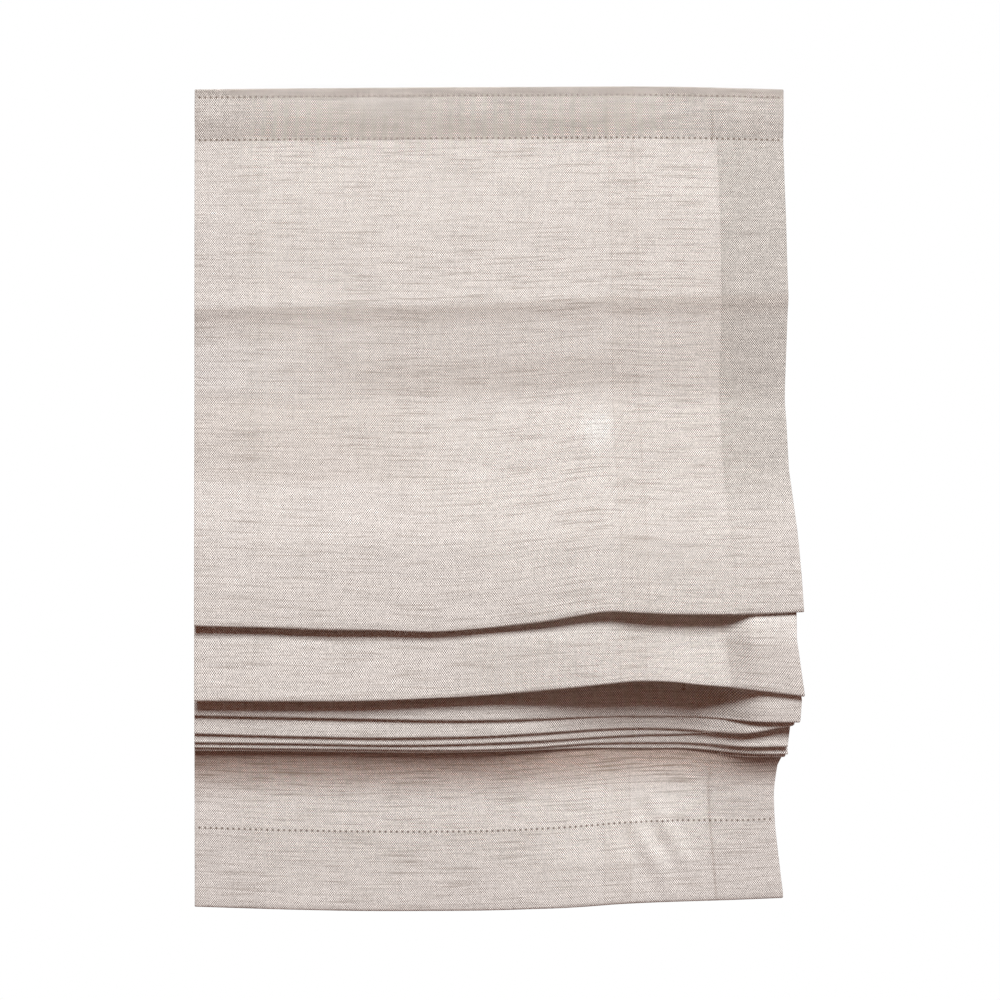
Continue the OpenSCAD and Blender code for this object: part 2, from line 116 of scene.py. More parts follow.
# Streaks and fine scratches along the way that a metal or a rod was drawn.
drawn_grain, gi, go = effect(
    "drawn_grain",
    [("Colour", "NodeSocketColor", None), ("Stretch", "NodeSocketVector", None),
     ("Amount", "NodeSocketFloat", 0.1), ("Rough", "NodeSocketFloat", 0.4)],
    [("Colour", "NodeSocketColor"), ("Roughness", "NodeSocketFloat"), ("Height", "NodeSocketFloat")])
where = put(drawn_grain, "ShaderNodeTexCoord").outputs["Object"]
long_way = put(drawn_grain, "ShaderNodeVectorMath",
               {0: where, 1: gi.outputs["Stretch"]}, operation="MULTIPLY").outputs[0]
streak = put(drawn_grain, "ShaderNodeTexNoise",
             {"Vector": long_way, "Scale": 1.0, "Detail": 4.0, "Roughness": 0.6}).outputs[0]
cloudy = put(drawn_grain, "ShaderNodeTexNoise",
             {"Vector": where, "Scale": 35.0, "Detail": 2.0}).outputs[0]
both = calc(drawn_grain, "ADD", calc(drawn_grain, "MULTIPLY", streak, 0.7),
            calc(drawn_grain, "MULTIPLY", cloudy, 0.3))
swing = calc(drawn_grain, "MULTIPLY", calc(drawn_grain, "SUBTRACT", both, 0.5), gi.outputs["Amount"])
level = calc(drawn_grain, "ADD", 1.0, swing)
drawn_grain.links.new(shaded(drawn_grain, gi.outputs["Colour"], level), go.inputs[0])
drawn_grain.links.new(calc(drawn_grain, "ADD", gi.outputs["Rough"], swing, clamp=True), go.inputs[1])
drawn_grain.links.new(streak, go.inputs[2])


def grained(name, colour, stretch, amount, rough, metallic, bump):
    finish, tree, shader = new_finish(name)
    shader.inputs["Metallic"].default_value = metallic
    grain = put(tree, "ShaderNodeGroup", node_tree=drawn_grain)
    grain.inputs["Colour"].default_value = (*colour, 1.0)
    grain.inputs["Stretch"].default_value = stretch
    grain.inputs["Amount"].default_value = amount
    grain.inputs["Rough"].default_value = rough
    tree.links.new(grain.outputs["Colour"], shader.inputs["Base Color"])
    tree.links.new(grain.outputs["Roughness"], shader.inputs["Roughness"])
    emboss(tree, shader, grain.outputs["Height"], bump, 0.0002)
    return finish


def dress(name, finish):
    piece = nodes[name]
    if not piece.material_slots:
        piece.data.materials.append(finish)
    for place in piece.material_slots:
        place.material = finish


rolled_aluminium = grained("rolled_aluminium", (0.74, 0.75, 0.76), (900, 900, 40), 0.22, 0.36, 1.0, 0.25)
for bracket in ("bracket_left", "bracket_right"):
    dress(bracket, rolled_aluminium)


# Bracket screws: zinc-plated machine screws with a cross recess, driven up from inside
# the rail into the brackets.
zinc_plate = grained("zinc_plate", (0.66, 0.66, 0.65), (500, 500, 500), 0.3, 0.32, 1.0, 0.2)
dress("bracket_screws", zinc_plate)


# Headrail: an aluminium section with two lips along its open underside, powder coated
# white. The coat has a fine orange-peel skin, and a little dust lies on the top.
powder_coat, gi, go = effect(
    "powder_coat",
    [("Colour", "NodeSocketColor", None), ("Peel", "NodeSocketFloat", 900.0),
     ("Rough", "NodeSocketFloat", 0.4), ("Dust", "NodeSocketFloat", 0.1)],
    [("Colour", "NodeSocketColor"), ("Roughness", "NodeSocketFloat"), ("Height", "NodeSocketFloat")])
where = put(powder_coat, "ShaderNodeTexCoord").outputs["Object"]
peel = put(powder_coat, "ShaderNodeTexNoise",
           {"Vector": where, "Scale": gi.outputs["Peel"], "Detail": 2.0}).outputs[0]
patch = put(powder_coat, "ShaderNodeTexNoise",
            {"Vector": where, "Scale": 60.0, "Detail": 4.0, "Roughness": 0.65}).outputs[0]
facing = put(powder_coat, "ShaderNodeNewGeometry").outputs["Normal"]
upward = put(powder_coat, "ShaderNodeSeparateXYZ", {0: facing}).outputs[2]
lying = calc(powder_coat, "MULTIPLY", calc(powder_coat, "MAXIMUM", upward, 0.0),
             calc(powder_coat, "MULTIPLY", patch, gi.outputs["Dust"]))
tone = calc(powder_coat, "ADD", 0.97, calc(powder_coat, "MULTIPLY", patch, 0.06))
coated = shaded(powder_coat, gi.outputs["Colour"], tone)
powder_coat.links.new(tint(powder_coat, lying, coated, (0.55, 0.52, 0.48)), go.inputs[0])
uneven = calc(powder_coat, "MULTIPLY", calc(powder_coat, "SUBTRACT", patch, 0.5), 0.16)
powder_coat.links.new(calc(powder_coat, "ADD", calc(powder_coat, "ADD", gi.outputs["Rough"], uneven), lying),
                      go.inputs[1])
powder_coat.links.new(peel, go.inputs[2])


def coated_in(name, colour, peel_scale, rough, dust, bump):
    finish, tree, shader = new_finish(name)
    skin = put(tree, "ShaderNodeGroup", node_tree=powder_coat)
    skin.inputs["Colour"].default_value = (*colour, 1.0)
    skin.inputs["Peel"].default_value = peel_scale
    skin.inputs["Rough"].default_value = rough
    skin.inputs["Dust"].default_value = dust
    tree.links.new(skin.outputs["Colour"], shader.inputs["Base Color"])
    tree.links.new(skin.outputs["Roughness"], shader.inputs["Roughness"])
    emboss(tree, shader, skin.outputs["Height"], bump, 0.0002)
    return finish


dress("headrail", coated_in("white_powder_coat", (0.86, 0.86, 0.85), 1100.0, 0.38, 0.35, 0.3))


# Drive housing, its cover and the end cap: moulded white plastic plugs that close the
# rail's ends; the left one holds the wheel that a bead chain would turn.
white_moulding = coated_in("white_moulding", (0.84, 0.84, 0.82), 2600.0, 0.46, 0.3, 0.25)
for moulded in ("drive_housing", "housing_cover", "end_cap"):
    dress(moulded, white_moulding)


# Drum cradles: white plastic bearings, one for each drum. They stand on the rail's lips,
# and two posts on each carry the drum by its hubs.
for cradle in ("drum_cradle_left", "drum_cradle_right"):
    dress(cradle, white_moulding)


# Drums and drive wheel: grey acetal mouldings, slid onto the square shaft. The drums wind
# the cords; the wheel has pockets round its rim that take the beads of a chain.
grey_moulding = coated_in("grey_moulding", (0.55, 0.56, 0.57), 1800.0, 0.42, 0.1, 0.2)
for turned in ("cord_drum_left", "cord_drum_right", "drive_wheel"):
    dress(turned, grey_moulding)


# Drive shaft: a drawn square aluminium bar that turns both drums. It runs through the rail
# from the drive wheel to the bearing in the end cap.
dress("drive_shaft", grained("drawn_aluminium", (0.77, 0.78, 0.79), (14, 1200, 1200), 0.2, 0.3, 1.0, 0.3))


# Lift cords: braided polyester, taut from the drums down through every eye to the stops,
# with the rest wound on the drums. The braid is eight strands that cross over each other.
def new_piece(name, points, faces, finish, smooth=True):
    mesh = bpy.data.meshes.new(name)
    mesh.from_pydata([tuple(p) for p in points], [], faces)
    mesh.materials.append(finish)
    mesh.polygons.foreach_set("use_smooth", [smooth] * len(mesh.polygons))
    mesh.validate()
    piece = bpy.data.objects.new(name, mesh)
    bpy.context.scene.collection.objects.link(piece)
    return piece


braid, tree, shader = new_finish("braided_polyester", 0.72)
where = put(tree, "ShaderNodeTexCoord").outputs["Object"]
fibre = put(tree, "ShaderNodeTexNoise", {"Vector": where, "Scale": 2400.0, "Detail": 3.0}).outputs[0]
soiled = put(tree, "ShaderNodeTexNoise", {"Vector": where, "Scale": 45.0, "Detail": 2.0}).outputs[0]
mixed = calc(tree, "ADD", calc(tree, "MULTIPLY", fibre, 0.7), calc(tree, "MULTIPLY", soiled, 0.3))
tree.links.new(tint(tree, mixed, (0.7, 0.68, 0.63), (0.93, 0.92, 0.89)), shader.inputs["Base Color"])
emboss(tree, shader, fibre, 0.4, 0.0002)

rings, sides = 420, 16
cord_r, strand_r, strand_lay = 0.00072, 0.00008, 0.0085
for side in ("left", "right"):
    low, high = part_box(f"lift_cord_{side}")
    cord_x, cord_y = (low[0] + high[0]) / 2, (low[1] + high[1]) / 2
    level = np.linspace(low[2], high[2], rings)[:, None]
    round_way = np.linspace(0, 2 * math.pi, sides, endpoint=False)[None, :]
    lay = 2 * math.pi * level / strand_lay
    over = np.sin(4 * round_way + lay) * np.sin(4 * round_way - lay)
    radius = cord_r + strand_r * over
    ring = np.stack([cord_x + radius * np.cos(round_way), cord_y + radius * np.sin(round_way),
                     np.broadcast_to(level, radius.shape)], axis=-1).reshape(-1, 3)
    beside = [(j, (j + 1) % sides) for j in range(sides)]
    skin = [(i * sides + a, i * sides + b, (i + 1) * sides + b, (i + 1) * sides + a)
            for i in range(rings - 1) for a, b in beside]
    skin += [tuple(range(sides - 1, -1, -1)), tuple((rings - 1) * sides + j for j in range(sides))]
    cord = new_piece(f"braided_cord_{side}", ring, skin, braid)
    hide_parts(f"lift_cord_{side}")
    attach(cord, "blind")
    dress(f"cord_wrap_{side}", braid)


# Cord stops and eyes: small clear-white mouldings. The eyes clip round the rods and guide
# the cords; the stops under the lowest eyes carry the whole pile.
eye_moulding = coated_in("eye_moulding", (0.88, 0.88, 0.86), 3200.0, 0.35, 0.05, 0.15)
for small in ("cord_stop_left", "cord_stop_right", "cord_eyes_left", "cord_eyes_right"):
    dress(small, eye_moulding)


# Rods: eight pulled fibreglass rods behind the cloth, one in each gathered fold, which keep
# the folds straight from side to side.
pulled_fibreglass = grained("pulled_fibreglass", (0.80, 0.77, 0.68), (18, 1500, 1500), 0.22, 0.42, 0.0, 0.25)
for k in range(1, 9):
    dress(f"rod_{k}", pulled_fibreglass)


# Hook tape: the stiff half of the fastening, glued along the front of the rail. Its face
# is a field of small moulded hooks, so it is matt and slightly rough.
def fleecy_band(name, node, finish, step, lift):
    low, high = (np.array(corner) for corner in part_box(node))
    across = max(2, int((high[0] - low[0]) / step))
    tall = max(2, int((high[2] - low[2]) / step))
    wobble = np.random.default_rng(7)
    points, faces = [], []
    for face, at in ((0, low[1]), (1, high[1])):
        for i in range(across + 1):
            for j in range(tall + 1):
                rim = min(i, across - i, j, tall - j)
                into = 0.0002 if rim == 0 else lift * wobble.random()
                points.append((low[0] + (high[0] - low[0]) * i / across, at + (into if face == 0 else -into),
                               low[2] + (high[2] - low[2]) * j / tall))
    count = (across + 1) * (tall + 1)
    for face in (0, 1):
        for i in range(across):
            for j in range(tall):
                a = face * count + i * (tall + 1) + j
                quad = (a, a + tall + 1, a + tall + 2, a + 1)
                faces.append(quad if face == 0 else quad[::-1])
    border = ([(i, 0) for i in range(across)] + [(across, j) for j in range(tall)]
              + [(i, tall) for i in range(across, 0, -1)] + [(0, j) for j in range(tall, 0, -1)])
    rim = [i * (tall + 1) + j for i, j in border]
    for a, b in zip(rim, rim[1:] + rim[:1]):
        faces.append((b, a, a + count, b + count))
    return new_piece(name, points, faces, finish)


def tape_finish(name, colour, dark, scale, depth):
    finish, tree, shader = new_finish(name, 0.85)
    where = put(tree, "ShaderNodeTexCoord").outputs["Object"]
    loops = put(tree, "ShaderNodeTexVoronoi", {"Vector": where, "Scale": scale}).outputs[0]
    tree.links.new(tint(tree, calc(tree, "MULTIPLY", loops, 1.2, clamp=True), colour, dark),
                   shader.inputs["Base Color"])
    emboss(tree, shader, loops, depth, 0.0004)
    return finish


hook_field = tape_finish("hook_field", (0.86, 0.86, 0.84), (0.62, 0.62, 0.6), 1100.0, 0.6)
hooks = fleecy_band("hook_band", "hook_tape", hook_field, 0.005, 0.0001)
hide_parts("hook_tape")
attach(hooks, "blind")


# Blind cloth: one linen sheet, turned over at the head, hemmed at both sides, gathered in
# eight folds over the rods and turned up round the bar. It is shaped in code, not simulated.
# All of its sizes are in millimetres; drop is the distance below the top edge.
half_w, side_hem, header_h, bottom_hem = 225.0, 51.0, 40.0, 63.0
cloth_t, hem_gap, swing_right = 0.45, 0.62, 0.17
turn_y, face_y, cloth_top = -36.05, -37.85, 16.2
head_r, turn_drop, head_end, head_rows, panel_rows = 0.9, 1.15, 46, 24, 92
seam_drops, stitch_pitch, tape_at = (5.5, 38.0), 4.3, 99.5
hem_x = half_w - side_hem
pile_y, pile_drop, pile_r, rod_pitch = -20.05, 418.0, 2.0, 7.0
crest_y, crest_r, fold_r = -19.45, 2.4, 1.3
bottom_y, bottom_r, hem_level, hem_end, bottom_rows, hem_rows = -28.05, 2.5, 40, 59, 26, 22
set_at = np.array([-225, -150, -95, -45, 0, 35, 60, 80, 99.5, 125, 150, 185, 225.0])
fold_lines = np.array([
    [407.0, 408.9, 410.2, 411.4, 407.6, 402.9, 398.8, 396.6, 397.4, 398.4, 398.8, 398.1, 396.7],
    [462.5, 462.5, 462.5, 460.7, 457.7, 454.6, 452.4, 450.5, 448.8, 449.1, 451.4, 453.8, 458.4],
    [474.8, 476.3, 477.4, 478.4, 478.6, 478.6, 478.6, 478.6, 478.6, 478.6, 478.6, 478.6, 478.6],
    [488.7, 490.7, 491.8, 491.5, 490.6, 489.7, 489.1, 488.6, 488.2, 488.0, 488.8, 488.9, 481.9],
    [495.8, 496.5, 497.6, 497.4, 496.4, 496.0, 495.5, 495.0, 494.3, 493.3, 492.8, 487.8, 480.8],
    [500.0, 500.9, 501.4, 502.0, 501.8, 501.1, 500.5, 500.0, 499.9, 499.8, 499.8, 499.3, 498.5],
    [502.7, 503.1, 503.8, 504.1, 503.9, 503.8, 503.9, 504.2, 504.6, 504.6, 504.6, 504.7, 504.9],
    [501.6, 502.0, 502.2, 502.5, 502.8, 503.0, 503.6, 504.3, 505.0, 506.0, 507.3, 508.0, 507.8]])
bottom_line = np.array(
    [627.3, 629.6, 630.6, 630.6, 630.2, 629.2, 628.3, 627.0, 625.5, 624.2, 623.3, 622.2, 620.6])
fold_out = [68, 60, 51, 48.3, 45, 41.8, 38.6, 34]
panel_out = [0, 0.9, 10.2, 11.3, 12.8, 14.3, 16.6, 18.2, 19.7, 18.3, 18.0, 17.0, 17.4]
panel_drop = np.array([0, 50, 100, 107, 120, 131, 148, 157, 164.5, 174, 188, 226, 240])
crease_tilt, crease_low, crease_soft = 0.018, 2.5, 1.6
valley_out, valley_drop = 16.8, 233.0
belly_out = np.array([0.165, 0.31, 0.373, 0.48, 0.67, 0.777, 0.825, 0.93])
belly_drop = np.array([0.15, 0.29, 0.35, 0.43, 0.57, 0.65, 0.71, 0.85])
head_sag = np.array([1.3, 0.5, 0.1, -0.3, -0.5, -0.6, -0.8, -0.9, -1.0, -0.9, -0.6, 0.2, 1.3])
# The folds sink back over the right tape and come forward again at the stiffer side hem.
dipped = np.array([0, 0, 0, 0, 0.1, 0.4, 0.7, 0.9, 1.0, 1.0, 1.0, 1.0, 1.0])
second_top = np.array([8.5, 8.5, 8.5, 9, 10, 9.5, 8, 6, 4, 3, 3, 3, 3])
second_edge = np.array([4, 4, 4, 3, 2, 1, 0, 0, 0, 0, 0, 0, 0.0])
sunk_top = {3: 16, 4: 12.3, 5: 8.5, 6: 4.8, 7: 1.1, 8: 0}
sunk_edge, sunk_bottom = 26, 22
hem_top, hem_out = 16, {2: 6, 3: 8, 4: 4.5, 5: 4, 6: 3.5, 7: 1.5}
# How far the right edge swings in or out of its straight line, down the panel and down the bottom.
edge_drop = [0, 48, 162, 231, 292, 397.3, 399.5, 418, 458, 470, 478, 484, 498, 506, 512, 538, 565, 619]
edge_in = [-1.4, -1.5, -4.3, -6.2, -7.5, -3, -9.5, -8, -2, -2.5, -3.5, -8.5, -8, -5.5, -9.5, -10, -7, 1.7]


def along(line, x):
    slope = np.gradient(line, set_at)
    i = int(np.clip(np.searchsorted(set_at, x) - 1, 0, len(set_at) - 2))
    h = set_at[i + 1] - set_at[i]
    t = np.clip((x - set_at[i]) / h, 0, 1)
    return ((2 * t**3 - 3 * t**2 + 1) * line[i] + (t**3 - 2 * t**2 + t) * h * slope[i]
            + (3 * t**2 - 2 * t**3) * line[i + 1] + (t**3 - t**2) * h * slope[i + 1])


def ease(value, start, end):
    t = np.clip((value - start) / (end - start), 0, 1)
    return t * t * (3 - 2 * t)


def bend(y, drop, r, a0, a1, n):
    a = np.radians(np.linspace(a0, a1, n + 1))
    return [(y + r * math.cos(v), drop + r * math.sin(v)) for v in a]


def between(a, b, n):
    return [(a[0] + (b[0] - a[0]) * i / n, a[1] + (b[1] - a[1]) * i / n) for i in range(1, n)]


def rod_drop(k):
    return pile_drop - pile_r - crest_r - (8 - k) * rod_pitch


# The path of the cloth at one place across it, as points (y, drop), with the rows of each stretch.
def cloth_path(x):
    stretch, path = {}, []

    def lay(name, points):
        stretch[name] = (len(path), len(path) + len(points))
        path.extend(points)

    at_hem = ease(x, hem_x - 4, hem_x + 20)
    dip = along(dipped, x) * (1 - ease(x, hem_x - 30, hem_x + 30))
    push = {k: -sunk_top[k] * dip for k in range(4, 9)}
    push[1], push[9] = 0.0, 0.0
    push[2] = along(second_top, x) * (1 - at_hem) + hem_top * at_hem
    push[3] = hem_top * at_hem - sunk_top[3] * along(dipped, x) * (1 - at_hem)
    edge_y = {k: pile_y - fold_out[k - 1] + sunk_edge * dip - 2 * ease(x, hem_x - 10, half_w - 6)
              for k in range(3, 9)}
    edge_y[1] = pile_y - fold_out[0]
    edge_y[2] = pile_y - fold_out[1] - along(second_edge, x) * (1 - at_hem)
    for k, out in hem_out.items():
        edge_y[k] -= out * at_hem
    hug = np.array([0, 0.1, 0.3, 0.65, 1.0, 1.0]) - (np.arange(6) / 5) ** 2
    edge = {k: along(fold_lines[k - 1], x) for k in range(1, 9)}
    lay("head_back", [(turn_y, header_h - 9.7 * i) for i in range(4)])
    lay("head_turn", bend(turn_y - head_r, turn_drop, head_r, 0, -180, 7))
    pinch = 0.8 + 0.6 * math.exp(-((x - 42) / 45) ** 2) + 0.5 * math.exp(-((x - 128) / 14) ** 2)
    head_at = [turn_drop, seam_drops[0], 11, 22, seam_drops[1], head_end]
    head_out = [0, -0.25, 0.5, 0.5, -pinch, 0.2]
    head_d = [turn_drop + (head_end - turn_drop) * i / head_rows for i in range(1, head_rows + 1)]
    lay("head_front", [(face_y - float(np.interp(d, head_at, head_out)), d) for d in head_d])
    first = edge[1] - fold_r
    tilted = (panel_drop + (crease_low - crease_tilt * x)
              * ease(panel_drop, 130, 150) * (1 - ease(panel_drop, 185, 225)))
    knots = np.concatenate([tilted, valley_drop + (first - valley_drop) * belly_drop, [first, first + 40]])
    outs = np.concatenate([panel_out, valley_out + (face_y - valley_out - edge_y[1]) * belly_out,
                           [face_y - edge_y[1]] * 2])
    fine = np.arange(0, 460, 1.0)
    spread = np.exp(-0.5 * (np.arange(-12, 13) / crease_soft) ** 2)
    soft = np.convolve(np.pad(np.interp(fine, knots, outs), 12, mode="edge"), spread / spread.sum(), "valid")
    drops = head_end + (first - head_end) * np.arange(1, panel_rows) / panel_rows
    lay("panel", [(face_y - float(np.interp(d, fine, soft)), float(d)) for d in drops])
    for k in range(1, 9):
        back = pile_r + 2 * crest_r + (8 - k) * rod_pitch
        front = pile_r + (8 - k) * rod_pitch
        lay(f"edge_{k}", bend(edge_y[k] + fold_r, edge[k] - fold_r, fold_r, 180, 0, 5))
        up = bend(pile_y, pile_drop, back, 210 if k == 1 else 180, 270, 5)
        up = [(y - push[k] * (1 - i / 5) ** 2, d) for i, (y, d) in enumerate(up)]
        lay(f"behind_{k}", between((edge_y[k] + 2 * fold_r, edge[k] - fold_r), up[0], 3) + up)
        lay(f"crest_{k}", bend(crest_y, rod_drop(k), crest_r, -90, 90, 6))
        down = bend(pile_y, pile_drop, front, 270, 180, 5)
        down = [(y - push[k + 1] * (i / 5) ** 2, d) for i, (y, d) in enumerate(down)]
        if k == 1:
            down = [(y - push[2] * hug[i], d - (0, 0, 0, 1.5, 3.5, 0)[i]) for i, (y, d) in enumerate(down)]
        lay(f"over_{k}", down)
        if k < 8:
            next_edge = (edge_y[k + 1], edge[k + 1] - fold_r)
            lay(f"face_{k + 1}", between(down[-1], next_edge, 14 if k == 1 else 4))
    foot = along(bottom_line, x)
    sewn = foot - bottom_hem
    lean = sunk_bottom * dip
    hang_d = [pile_drop, 470, 492, 505, 515, 523, 531, 542, sewn - 3, foot - 34.5, foot]
    hang_out = np.array([-6, 11, 23, 24.5, 20, 16.6, 14.2, 12, 9.2, 4.6, 0])
    hang_y = bottom_y - hang_out + lean * np.array([0, 0.5, 0.9, 1, 0.85, 0.7, 0.6, 0.5, 0.35, 0.1, 0])
    upper = [pile_drop + (sewn - pile_drop) * i / bottom_rows for i in range(1, bottom_rows + 1)]
    lower = [sewn + (bottom_hem - bottom_r) * i / hem_rows for i in range(1, hem_rows)]
    lay("bottom", [(float(np.interp(d, hang_d, hang_y)), d) for d in upper])
    lay("hem", [(float(np.interp(d, hang_d, hang_y)), d) for d in lower])
    lay("hem_turn", bend(bottom_y + bottom_r, foot - bottom_r, bottom_r, 180, 0, 7))
    back_y = bottom_y + 2 * bottom_r
    turned_y = float(np.interp(foot - hem_end, hang_d, hang_y)) + 1.4
    low_back, high_back = (back_y, foot - bottom_r), (back_y, foot - hem_level)
    turned_end = (turned_y, foot - hem_end)
    lay("hem_back", between(low_back, high_back, 4) + [high_back]
        + between(high_back, turned_end, 5) + [turned_end])
    path = np.array(path)
    path[:, 1] += along(head_sag, x) * (1 - ease(path[:, 1], 40, 160))
    return path, stretch


def path_normals(path):
    way = np.gradient(path, axis=0)
    way /= np.linalg.norm(way, axis=1)[:, None]
    return np.stack([-way[:, 1], way[:, 0]], axis=1)


# Columns across the sheet: the turned hem on the left, the front, the turned hem on the right.
turn_r = hem_gap / 2
front_x = sorted(set(np.round(np.concatenate([
    np.linspace(-half_w + turn_r, -hem_x - 0.5, 11), np.linspace(-hem_x, 60, 43),
    np.linspace(63.8, hem_x, 30), np.linspace(hem_x + 0.5, half_w - turn_r, 11)]), 3)))
corner = np.radians([45, 90, 135])
columns = [(x, -hem_gap, x - 2 * (x + half_w)) for x in (-hem_x, -191.0, -208.0, -half_w + turn_r)]
columns += [(-half_w + turn_r - turn_r * math.sin(a), -turn_r - turn_r * math.cos(a), -half_w)
            for a in np.pi - corner[::-1]]
columns += [(x, 0.0, x) for x in front_x]
columns += [(half_w - turn_r + turn_r * math.sin(a), -turn_r + turn_r * math.cos(a), half_w) for a in corner]
columns += [(x, -hem_gap, 2 * half_w - x) for x in (half_w - turn_r, 208.0, 191.0, hem_x)]

middle, stretch = cloth_path(0.0)
flat_v = np.concatenate([[0], np.cumsum(np.linalg.norm(np.diff(middle, axis=0), axis=1))])


def rows_of(*names):
    chosen = np.zeros(len(middle))
    for name in names:
        chosen[slice(*stretch[name])] = 1
    return chosen


# What the needle, the iron and its own weight do to the sheet: shallow waves, the hem's step and
# puckers along the seams, in millimetres towards the face side.
hung_rows = rows_of("panel", "edge_1")
seam_rows = rows_of("head_front", "panel")
low_rows = rows_of("bottom", "hem")
shown_rows = rows_of("head_front", "panel", "edge_1", "face_2", "edge_2", "bottom", "hem")


def ripple_at(x, drop):
    slack = (0.35 * np.sin(x / 23.0 + drop / 61.0) + 0.30 * np.sin(x / 37.0 - drop / 29.0 + 1.3)
             + 0.22 * np.sin(x / 13.0 + drop / 90.0 + 0.7))
    moved = hung_rows * slack * ease(drop, 46, 90) * 0.8
    seam = np.exp(-((drop - seam_drops[1]) / 5.0) ** 2) + np.exp(-((drop - seam_drops[0]) / 4.0) ** 2)
    moved += seam_rows * seam * (0.10 * math.sin(x / 1.9) + 0.12 * math.sin(x / 3.7 + 1))
    moved += rows_of("face_2", "edge_2") * 0.35 * math.sin(x / 31.0 + 0.5)
    above_foot = along(bottom_line, x) - drop
    moved += low_rows * 0.3 * np.sin(x / 29.0 + drop / 40.0) * ease(above_foot, 4, 20)
    gathered = np.exp(-((x - 130) / 24.0) ** 2) * np.exp(-((above_foot - 46) / 28.0) ** 2)
    moved -= low_rows * gathered * 1.8 * np.sin((x - 118.3 - 0.5 * (bottom_hem - above_foot)) / 4.0)
    moved += low_rows * np.exp(-((above_foot - bottom_hem) / 4.0) ** 2) * 0.10 * math.sin(x / 2.1)
    return moved + shown_rows * (0.22 if x > hem_x + 0.2 else 0.0)


hung_free = 1 - rows_of("head_back", "head_turn", "head_front")
centre = np.zeros((len(middle), len(columns), 3))
flat_u = np.array([u for _, _, u in columns])
for c, (x, off, _) in enumerate(columns):
    path, _ = cloth_path(x)
    shifted = path + (off + ripple_at(x, path[:, 1]))[:, None] * path_normals(path)
    centre[:, c, 0] = (x + swing_right * (face_y - shifted[:, 0]) * hung_free
                       + np.interp(shifted[:, 1], edge_drop, edge_in) * ease(x, 90, half_w))
    centre[:, c, 1] = shifted[:, 0]
    centre[:, c, 2] = cloth_top - shifted[:, 1]
normal = -np.cross(np.gradient(centre, axis=1), np.gradient(centre, axis=0))
normal /= np.maximum(np.linalg.norm(normal, axis=2), 1e-9)[:, :, None]
face_side = centre + normal * cloth_t / 2
back_side = centre - normal * cloth_t / 2


def sheet_mesh(name, front, back, u, v, finish):
    rows, cols = front.shape[:2]
    points = np.concatenate([front.reshape(-1, 3), back.reshape(-1, 3)]) * 0.001
    base = (np.arange(rows - 1)[:, None] * cols + np.arange(cols - 1)[None, :]).ravel()
    face = np.stack([base, base + cols, base + cols + 1, base + 1], axis=1)
    faces = np.concatenate([face, face[:, ::-1] + rows * cols])
    rim = ([(0, j) for j in range(cols - 1, 0, -1)] + [(i, 0) for i in range(rows - 1)]
           + [(rows - 1, j) for j in range(cols - 1)] + [(i, cols - 1) for i in range(rows - 1, 0, -1)])
    loop = np.array([i * cols + j for i, j in rim])
    ahead = np.roll(loop, -1)
    faces = np.concatenate([faces, np.stack([ahead, loop, loop + rows * cols, ahead + rows * cols], axis=1)])
    piece = new_piece(name, points.tolist(), faces.tolist(), finish)
    flat = np.stack(np.broadcast_arrays(u[None, :], v[:, None]), axis=-1).reshape(-1, 2) * 0.001
    flat = np.concatenate([flat, flat])
    corners = np.zeros(len(piece.data.loops), np.int32)
    piece.data.loops.foreach_get("vertex_index", corners)
    flat_layer = piece.data.uv_layers.new(name="flat_cloth")
    flat_layer.data.foreach_set("uv", flat[corners].astype(np.float32).ravel())
    return piece


# Plain weave: every crossing shows the warp or the weft, threads differ in tone along their
# length, and thick slubs run along the weft. Place is the flat cloth in metres; Warp and Weft
# are threads per metre.
plain_weave, gi, go = effect(
    "plain_weave",
    [("Place", "NodeSocketVector", None), ("Warp", "NodeSocketFloat", 1193.0),
     ("Weft", "NodeSocketFloat", 925.0), ("Slubs", "NodeSocketFloat", 1.0),
     ("Contrast", "NodeSocketFloat", 1.0)],
    [("Shade", "NodeSocketFloat"), ("Slub", "NodeSocketFloat"), ("Height", "NodeSocketFloat")])
split = put(plain_weave, "ShaderNodeSeparateXYZ", {0: gi.outputs["Place"]})
across_warp = calc(plain_weave, "MULTIPLY", split.outputs[0], gi.outputs["Warp"])
across_weft = calc(plain_weave, "MULTIPLY", split.outputs[1], gi.outputs["Weft"])


def threads(u_scale, v_scale, seed, detail):
    place = put(plain_weave, "ShaderNodeCombineXYZ",
                {0: calc(plain_weave, "MULTIPLY", across_warp, u_scale),
                 1: calc(plain_weave, "MULTIPLY", across_weft, v_scale), 2: seed}).outputs[0]
    return put(plain_weave, "ShaderNodeTexNoise",
               {"Vector": place, "Scale": 1.0, "Detail": detail, "Roughness": 0.6}).outputs[0]


def off_centre(value, gain):
    return calc(plain_weave, "MULTIPLY", calc(plain_weave, "SUBTRACT", value, 0.5), gain)


over_under = calc(plain_weave, "MULTIPLY",
                  calc(plain_weave, "SINE", calc(plain_weave, "MULTIPLY", across_warp, math.pi)),
                  calc(plain_weave, "SINE", calc(plain_weave, "MULTIPLY", across_weft, math.pi)))
weft = threads(0.025, 0.9, 1.7, 1.0)
warp = threads(0.9, 0.03, 9.1, 1.0)
crossing = threads(0.9, 0.9, 4.3, 0.0)
patch = threads(0.05, 0.3, 14.0, 1.0)
slub = threads(0.02, 0.6, 21.0, 2.0)
drift = threads(0.006, 0.02, 33.0, 2.0)
bold = calc(plain_weave, "MULTIPLY", calc(plain_weave, "SUBTRACT", slub, 0.5), 4.0, clamp=True)
bold = calc(plain_weave, "MULTIPLY", bold, calc(plain_weave, "MULTIPLY", drift, 1.6, clamp=True))
grain = calc(plain_weave, "ADD", off_centre(weft, 0.2), off_centre(warp, 0.12))
